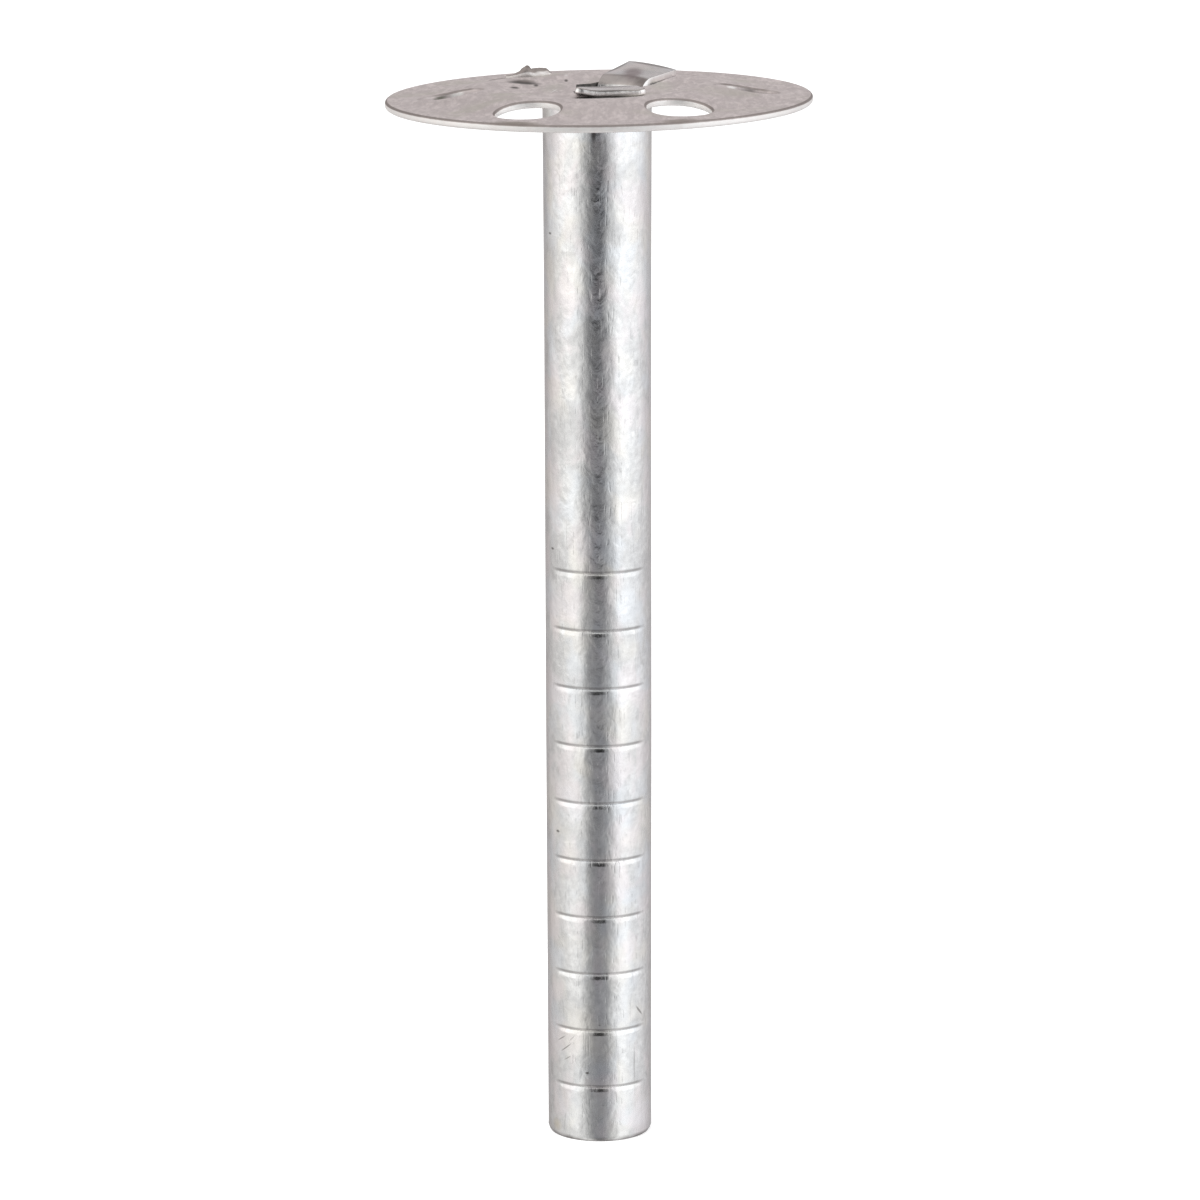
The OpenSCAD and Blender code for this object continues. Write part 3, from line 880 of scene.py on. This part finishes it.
# Marks in the plate's coat, in mm: stains beside the bore and at the front of the rim, a painted shadow under
# the lip, scratches at the left hole and the bore, and by the burr a dark line on its top and one at its foot, a
# painted highlight between it and the crease before it, painted shade at the feet of the two creases and beside
# them, and a dark dot with a pale mark behind it beside the bore
PLATE_MARKS = (
    ((-3.6, 1.0, 88.4), (1.3, 4.5, 3.0), -8, 0.9, (0.60, 0.585, 0.53), 0.55),
    ((5.2, 0.8, 88.4), (1.5, 4.5, 3.0), 6, 0.9, (0.62, 0.605, 0.545), 0.6),
    ((-6.4, -15.8, 87.9), (2.9, 1.6, 2.0), -22, 0.8, (0.32, 0.28, 0.24), 0.85),
    ((6.6, -15.7, 87.9), (2.6, 1.5, 2.0), 22, 0.8, (0.34, 0.29, 0.26), 0.8),
    # Painted shadow under the lip, deepest at its curled left corner
    ((0.85, -5.55, 88.4), (3.2, 0.62, 0.6), 8, 0.5, DARK, 0.9),
    ((-1.0, -5.6, 88.4), (1.1, 0.95, 0.6), 0, 0.5, DARK, 0.9),
    ((-14.5, -1.0, 87.9), (0.10, 1.7, 2.0), 16, 0.6, PALE, 0.8),
    ((-14.4, -1.0, 87.9), (0.10, 1.7, 2.0), -20, 0.6, PALE, 0.8),
    ((-3.5, -0.8, 88.4), (0.09, 1.8, 2.0), -12, 0.6, PALE, 0.6),
    ((-3.4, -0.8, 88.4), (0.08, 1.6, 2.0), 14, 0.6, PALE, 0.5),
    ((-5.75, 7.3, 89.4), (0.28, 1.2, 0.2), 0, 0.6, DARK, 0.9),
    # Painted shade at the feet of the two creases and beside them
    ((-6.1, 3.6, 88.4), (1.8, 0.9, 2.0), -4, 0.7, DARK, 0.95),
    ((-5.0, 2.7, 88.4), (0.26, 0.9, 2.0), 0, 0.7, DARK, 0.9),
    ((-6.75, 0.7, 88.4), (0.5, 0.6, 2.0), 0, 0.7, DARK, 0.9),
    # Painted highlight between the burr and the crease before it
    ((-6.3, 5.6, 88.4), (1.0, 0.6, 2.0), 0, 0.8, PALE, 0.8),
    ((-6.0, 6.9, 88.4), (1.3, 0.4, 2.0), 8, 0.8, DARK, 0.6),
    ((-2.55, 5.4, 88.4), (0.22, 0.9, 2.0), 0, 0.8, DARK, 0.9),
    ((-2.55, 7.6, 88.4), (0.24, 0.7, 2.0), 0, 0.8, PALE, 0.8),
)
# Ends of the side holes, where the edge is smoothed over, in mm
SMOOTHED_MARKS = (
    ((-14.1, 0.0, 88.2), (1.7, 3.1, 2.0), 0, 0.5, SMOOTHED, 0.75),
    ((-9.6, 0.4, 88.2), (1.0, 3.1, 2.0), 0, 0.5, SMOOTHED, 0.75),
    ((9.7, 0.4, 88.2), (1.0, 3.1, 2.0), 0, 0.5, SMOOTHED, 0.75),
    ((14.5, 0.4, 88.2), (1.4, 3.1, 2.0), 0, 0.5, SMOOTHED, 0.75),
)
# Walls of the bore and of the two keying holes at the sides, in mm: painted shade on the bore's wall, the side
# holes' walls toned near the plate's colour, and painted shade and painted highlights on their far walls
WALL_MARKS = (
    # Painted shade on the bore's wall
    ((0.0, 0.0, 88.2), (6.2, 6.2, 2.0), 0, 0.2, DARK, 0.9),
    ((-11.95, 1.5, 88.3), (3.4, 2.6, 2.0), 0, 0.2, MUTED_WALL, 0.95),
    # Painted shade and a painted highlight on the left hole's far wall
    ((-12.9, 2.0, 88.3), (0.8, 1.6, 2.0), 0, 0.7, (0.20, 0.20, 0.16), 0.9),
    ((-11.5, 2.0, 88.3), (0.75, 1.6, 2.0), 0, 0.6, BRIGHT_WALL, 1.0),
    ((12.25, 1.5, 88.3), (3.4, 2.6, 2.0), 0, 0.2, MUTED_WALL, 0.95),
    # A painted highlight and painted shade on the right hole's far wall
    ((11.1, 2.0, 88.3), (0.6, 1.6, 2.0), 0, 0.6, BRIGHT_WALL, 1.0),
    ((12.6, 2.0, 88.3), (0.7, 1.6, 2.0), 0, 0.7, (0.20, 0.18, 0.16), 0.9),
)


def groove_shade(tree, where, sizes):
    """Mask of painted shade in the pressed grooves: a thin painted dark reflection on their upper flanks at the
    front of the wall.
    """
    height, half = where["Z"], sizes.pitch / 2
    row = maths(tree, "MODULO", maths(tree, "ADD", height, half + sizes.pitch - sizes.first), sizes.pitch)
    flank = maths(tree, "ABSOLUTE", maths(tree, "SUBTRACT", row, half + 0.17 * MM))
    line = ranged(tree, flank, 0.05 * MM, 0.15 * MM, 0.6, 0.0)
    top = sizes.first + (sizes.grooves - 0.5) * sizes.pitch
    grooved = ranged(tree, height, top, top + 0.1 * MM, 1.0, 0.0)
    front = ranged(tree, where["Y"], -3.0 * MM, -2.2 * MM, 1.0, 0.0)
    return maths(tree, "MULTIPLY", line, maths(tree, "MULTIPLY", grooved, front))


def bright_galvanised(finish, sizes):
    """Bright zinc of the sleeve: speckled, tinged in patches, drawn lengthwise, scuffed and soiled, with painted
    shade in the grooves, below the plate and about the tongues, and painted light on the tongues' edges.
    """
    material, tree, shader, at, facing = new_metal("bright_galvanised")
    zinc = placed(tree, zinc_mottle(), at, Blotch_Scale=420.0, Grain_Scale=3200.0, Draw=(1.0, 1.0, 0.55))
    blotches, grain = zinc.outputs["Blotches"], zinc.outputs["Grain"]
    specks = ranged(tree, noise(tree, at, 1900.0, detail=3.0, rough=0.6), 0.36, 0.66, 0.0, 0.42)
    colour = finish.sleeve
    for dulled in (maths(tree, "MULTIPLY", blotches, 0.35), maths(tree, "MULTIPLY", grain, 0.22), specks):
        colour = mixed(tree, dulled, colour, finish.sleeve_dull)
    for scale, tinge in ((300.0, finish.warm), (360.0, finish.cool), (430.0, finish.pink)):
        patches = noise(tree, at, scale, stretch=(1, 1, 0.7), distortion=0.4)
        colour = mixed(tree, ranged(tree, patches, 0.5, 0.64, 0.0, 0.5), colour, tinge)
    drawn = placed(tree, scuffs(), at, Scale=1500.0, Stretch=(1.0, 1.0, 0.05), Thinness=0.05)
    colour = mixed(tree, maths(tree, "MULTIPLY", drawn, 0.30), colour, SCUFFED)
    where = node(tree, "ShaderNodeSeparateXYZ", {0: at}).outputs
    colour = mixed(tree, groove_shade(tree, where, sizes), colour, GREY)
    # On the two tongues, which lie above the plate, the rolled edges get a painted dark reflection and the cut
    # faces a painted highlight
    tongues = ranged(tree, where["Z"], 88.0 * MM, 88.4 * MM, 0.0, 0.85)
    edges = placed(tree, sheet_edges(), facing)
    cut = maths(tree, "MULTIPLY", edges.outputs["Cut"], tongues)
    colour = mixed(tree, maths(tree, "MULTIPLY", edges.outputs["Rolled"], tongues), colour, finish.edge)
    colour = mixed(tree, cut, colour, finish.cut)
    soil = ranged(tree, noise(tree, at, 500.0, detail=3.0), 0.38, 0.55, 0.35, 1.0)
    worn_end = maths(tree, "MULTIPLY", ranged(tree, where["Z"], 0.1 * MM, 0.45 * MM, 0.9, 0.0), soil)
    colour = mixed(tree, worn_end, colour, GREY)
    colour = marked(tree, at, marked(tree, at, colour, WALL_SCRATCHES_AND_SHADE, upright=True), TONGUE_MARKS)
    feed(tree, shader.inputs["Base Color"], colour)
    rough = ranged(tree, blotches, 0.0, 1.0, 0.13, 0.23)
    for mask, more in ((grain, 0.07), (cut, 0.15)):
        rough = maths(tree, "ADD", rough, maths(tree, "MULTIPLY", mask, more))
    feed(tree, shader.inputs["Roughness"], rough)
    feed(tree, shader.inputs["Normal"], bumped(
        tree,
        (noise(tree, at, 330.0, stretch=(1, 1, 0.45)), 0.12 * MM),
        (noise(tree, at, 900.0, stretch=(1, 1, 0.8), distortion=0.5), 0.035 * MM),
        (noise(tree, at, 2200.0, detail=3.0, rough=0.6, stretch=(1, 1, 0.6)), 0.016 * MM),
        (maths(tree, "MULTIPLY", drawn, -1.0), 0.006 * MM),
    ))
    return material


def matt_galvanised(finish):
    """Matt zinc of the plate: pinkish and mottled, stained, with a painted highlight on its cut faces, a painted
    dark reflection on its rolled edges, and painted shade and highlights among its marks.
    """
    material, tree, shader, at, facing = new_metal("matt_galvanised")
    zinc = placed(tree, zinc_mottle(), at, Blotch_Scale=420.0, Grain_Scale=2300.0, Draw=(1.0, 0.35, 1.0))
    fine = placed(tree, zinc_mottle(), at, Blotch_Scale=1700.0, Grain_Scale=4000.0, Draw=(1.0, 0.35, 1.0))
    blotches, grain = zinc.outputs["Blotches"], zinc.outputs["Grain"]
    colour = finish.plate
    for mask, share in ((blotches, 0.35), (fine.outputs["Blotches"], 0.72), (grain, 0.85)):
        colour = mixed(tree, maths(tree, "MULTIPLY", mask, share), colour, finish.plate_dull)
    stains = noise(tree, at, 190.0, detail=3.0, distortion=0.5)
    colour = mixed(tree, ranged(tree, stains, 0.50, 0.68, 0.0, 0.6, True), colour, finish.stain)
    colour = marked(tree, at, colour, PLATE_MARKS)
    edges = placed(tree, sheet_edges(), facing)
    # Painted dark reflection on the rolled edges
    colour = mixed(tree, maths(tree, "MULTIPLY", edges.outputs["Rolled"], 0.85), colour, finish.edge)
    # Painted highlight on the cut faces, broken by a torn grain
    torn = noise(tree, at, 1500.0, detail=3.0, rough=0.6, stretch=(1, 1, 0.25))
    cut = mixed(tree, ranged(tree, torn, 0.4, 0.7, 0.0, 0.3), finish.cut, finish.plate)
    colour = mixed(tree, edges.outputs["Cut"], colour, marked(tree, at, cut, WALL_MARKS))
    feed(tree, shader.inputs["Base Color"], marked(tree, at, colour, SMOOTHED_MARKS))
    rough = ranged(tree, blotches, 0.0, 1.0, 0.44, 0.54)
    for mask in (grain, edges.outputs["Cut"]):
        rough = maths(tree, "ADD", rough, maths(tree, "MULTIPLY", mask, 0.10))
    feed(tree, shader.inputs["Roughness"], rough)
    feed(tree, shader.inputs["Normal"], bumped(
        tree,
        (noise(tree, at, 700.0, detail=4.0, rough=0.6, stretch=(1, 0.5, 1)), 0.03 * MM),
        (fine.outputs["Grain"], 0.006 * MM),
    ))
    return material


class FIXING_OT_studio(bpy.types.Operator):
    """Set the pale floor, the soft studio light and the camera"""

    bl_idname = "fixing.studio"
    bl_label = "Studio"

    # Brightness of the room round the object, by the angle from the camera's side, positive to the right
    room_high = (
        (-180, 0.54), (-150, 0.42), (-132, 0.51), (-114, 0.75), (-100, 1.00), (-88, 1.18), (-75, 1.32),
        (-54, 1.30), (-40, 1.02), (-30, 0.62), (-20, 0.33), (-11, 0.08), (-5, 0.0), (3, 0.0), (11, 0.11),
        (21, 0.46), (31, 0.88), (41, 1.18), (50, 1.40), (75, 1.38), (88, 1.30), (99, 1.08), (110, 0.94),
        (128, 0.68), (150, 0.50), (180, 0.54))
    # The same below the object's level, where the reflections of the sleeve's lower part come from
    room_low = (
        (-180, 0.54), (-150, 0.48), (-132, 0.62), (-114, 0.76), (-99, 0.84), (-88, 0.87), (-76, 0.98),
        (-64, 1.13), (-50, 1.16), (-38, 0.94), (-27, 0.55), (-17, 0.37), (-7, 0.34), (3, 0.33), (11, 0.39),
        (19, 0.49), (28, 0.72), (38, 1.02), (50, 1.35), (62, 1.30), (74, 1.18), (86, 1.06), (97, 1.02),
        (110, 0.90), (128, 0.72), (150, 0.52), (180, 0.54))
    # The camera, in pixels of its picture, degrees and metres
    picture_width, focal_length = 1200.0, 5976.0
    look_down, roll = 12.29, -0.156
    camera_place = (0.13 * MM, -486.0 * MM, 151.6 * MM)

    def execute(self, context):
        self.floor()
        self.world(context.scene)
        self.lamp()
        self.camera(context.scene)
        context.scene.view_settings.view_transform = "Standard"
        return {"FINISHED"}

    @staticmethod
    def floor():
        """A pale floor that shows white to the camera, keeps the shadow and isn't seen in the metal."""
        floor = open_primitive("studio_floor", bpy.ops.mesh.primitive_plane_add, size=6.0)
        bpy.ops.object.mode_set(mode="OBJECT")
        material = bpy.data.materials.new("studio_white")
        material.use_nodes = True
        tree = material.node_tree
        tree.nodes.clear()
        path = node(tree, "ShaderNodeLightPath").outputs
        matt = node(tree, "ShaderNodeBsdfDiffuse", {"Color": (0.9, 0.9, 0.9)})
        strength = maths(tree, "MULTIPLY", path["Is Camera Ray"], 0.42)
        glow = node(tree, "ShaderNodeEmission", {"Color": (1, 1, 1), "Strength": strength})
        both = node(tree, "ShaderNodeAddShader", {0: matt, 1: glow})
        clear = node(tree, "ShaderNodeBsdfTransparent")
        seen = node(tree, "ShaderNodeMixShader", {0: path["Is Glossy Ray"], 1: both, 2: clear})
        node(tree, "ShaderNodeOutputMaterial", {"Surface": seen})
        floor.data.materials.append(material)

    def world(self, scene):
        """White to the camera; to the metal a light room that is dim where the camera stands."""
        scene.world = bpy.data.worlds.new("studio_room")
        scene.world.use_nodes = True
        tree = scene.world.node_tree
        tree.nodes.clear()
        path = node(tree, "ShaderNodeLightPath").outputs
        where = node(tree, "ShaderNodeTexCoord").outputs["Generated"]
        across, deep, high = node(tree, "ShaderNodeSeparateXYZ", {0: where}).outputs
        azimuth = maths(tree, "ARCTAN2", across, maths(tree, "MULTIPLY", deep, -1.0))
        turn = maths(tree, "ADD", maths(tree, "DIVIDE", azimuth, 2 * pi), 0.5)
        upper, lower = self.ramp(tree, turn, self.room_high), self.ramp(tree, turn, self.room_low)
        light = mixed(tree, ranged(tree, high, -0.125, -0.20, 0.0, 1.0), upper, lower)
        # A little dimmer towards the floor, and white overhead
        light = mixed(tree, ranged(tree, high, -0.15, -0.30, 1.0, 0.86), (0.0, 0.0, 0.0), light)
        light = mixed(tree, ranged(tree, high, 0.62, 0.95, 0.0, 1.0, True), light, (1.0, 1.0, 1.0))
        white = node(tree, "ShaderNodeBackground", {"Color": (1, 1, 1), "Strength": 1.0})
        room = node(tree, "ShaderNodeBackground", {"Color": light, "Strength": 1.0})
        soft = node(tree, "ShaderNodeBackground", {"Color": (1, 1, 1), "Strength": 0.9})
        shiny = maths(tree, "MAXIMUM", path["Is Glossy Ray"], path["Is Transmission Ray"])
        lit = node(tree, "ShaderNodeMixShader", {0: shiny, 1: soft, 2: room})
        seen = node(tree, "ShaderNodeMixShader", {0: path["Is Camera Ray"], 1: lit, 2: white})
        node(tree, "ShaderNodeOutputWorld", {"Surface": seen})

    @staticmethod
    def ramp(tree, turn, levels):
        """A colour ramp over the full turn: warm behind and on the left, cool ahead and on the right."""
        made = node(tree, "ShaderNodeValToRGB", {0: turn})
        stops = made.color_ramp.elements
        while len(stops) < len(levels):
            stops.new(0.5)
        for stop, (direction, level) in zip(stops, levels):
            stop.position = direction / 360 + 0.5
            side = sin(radians(direction))
            behind = max(0.0, (abs(direction) - 80) / 70)
            ahead = max(0.0, 1 - abs(direction) / 26)
            red, blue = 1 - 0.01 * side + 0.045 * behind, 1 + 0.016 * side + 0.07 * ahead
            stop.color = (level * red, level, level * blue, 1)
        return made

    @staticmethod
    def lamp():
        """One soft lamp above gives the floor its shadow."""
        bpy.ops.object.light_add(type="AREA", location=(-0.18, -0.12, 0.62))
        lamp = bpy.context.object
        lamp.name = "top_softbox"
        lamp.data.shape = "DISK"
        lamp.data.size = 0.35
        lamp.data.energy = 1.6
        lamp.visible_glossy = False
        lamp.rotation_euler = (Vector((0, 0, 0.05)) - lamp.location).to_track_quat("-Z", "Y").to_euler()

    def camera(self, scene):
        """The photograph's viewpoint: near level, a little above the plate, with a long lens."""
        bpy.ops.object.camera_add(location=self.camera_place)
        camera = bpy.context.object
        camera.name = "product_camera"
        camera.data.sensor_fit = "HORIZONTAL"
        camera.data.sensor_width = 36.0
        camera.data.lens = camera.data.sensor_width * self.focal_length / self.picture_width
        camera.data.clip_start = 0.01
        tilt = Matrix.Rotation(radians(90 - self.look_down), 4, "X")
        camera.rotation_euler = (tilt @ Matrix.Rotation(radians(self.roll), 4, "Z")).to_euler()
        scene.camera = camera


class FIXING_PT_sidebar(bpy.types.Panel):
    """Lists the fixing's pieces, sizes and colours"""

    bl_idname = "FIXING_PT_sidebar"
    bl_label = "Insulation Fixing"
    bl_space_type = "VIEW_3D"
    bl_region_type = "UI"
    bl_category = "Fixing"

    def draw(self, context):
        column = self.layout.column()
        for operator in OPERATORS:
            column.operator(operator.bl_idname)
        scene = context.scene
        for settings in (scene.fixing_sleeve, scene.fixing_plate, scene.fixing_finish):
            box = column.box()
            for key in settings.bl_rna.properties.keys():
                if key not in ("rna_type", "name"):
                    box.prop(settings, key)


OPERATORS = (FIXING_OT_split_sleeve, FIXING_OT_head_plate, FIXING_OT_studio)
CLASSES = (SleeveSizes, PlateSizes, FixingFinish, *OPERATORS, FIXING_PT_sidebar)


def register():
    for item in CLASSES:
        bpy.utils.register_class(item)
    bpy.types.Scene.fixing_sleeve = bpy.props.PointerProperty(type=SleeveSizes)
    bpy.types.Scene.fixing_plate = bpy.props.PointerProperty(type=PlateSizes)
    bpy.types.Scene.fixing_finish = bpy.props.PointerProperty(type=FixingFinish)


def unregister():
    for name in ("fixing_finish", "fixing_plate", "fixing_sleeve"):
        delattr(bpy.types.Scene, name)
    for item in reversed(CLASSES):
        bpy.utils.unregister_class(item)


def main():
    register()
    bpy.ops.fixing.split_sleeve()
    bpy.ops.fixing.head_plate()
    bpy.ops.fixing.studio()


if __name__ == "__main__":
    main()
